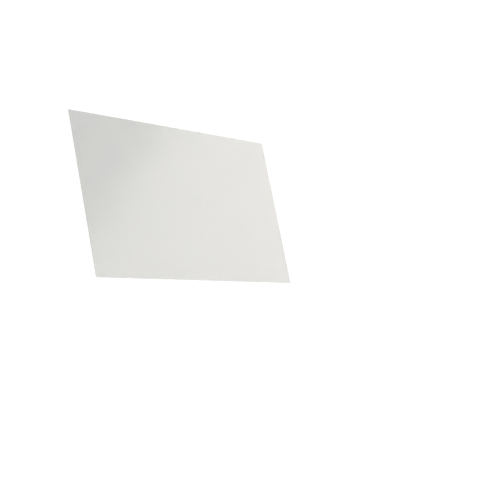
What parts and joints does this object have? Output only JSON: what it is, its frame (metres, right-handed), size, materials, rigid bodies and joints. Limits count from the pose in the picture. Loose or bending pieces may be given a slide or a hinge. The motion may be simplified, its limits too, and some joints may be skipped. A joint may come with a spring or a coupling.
{
  "type": "laptop blue light filter",
  "caption": "Thin flat rectangular film of hazy see-through plastic with small round corners, laid over a laptop screen to cut its blue light and glare.",
  "frame": {"origin": "centre of the back, the side that goes against the screen, in the plane that the film lies on", "axes": "+X along the long side, +Y up the screen along the short side, +Z out of the front through the thickness"},
  "size_m": [0.344, 0.1934, 0.0005],
  "materials": {
    "hazy_film": "hazy see-through polyester film, pale warm grey, fine matt anti-glare grain on the front"
  },
  "bodies": {
    "root": {"filter_film": "hazy_film"}
  },
  "joints": []
}
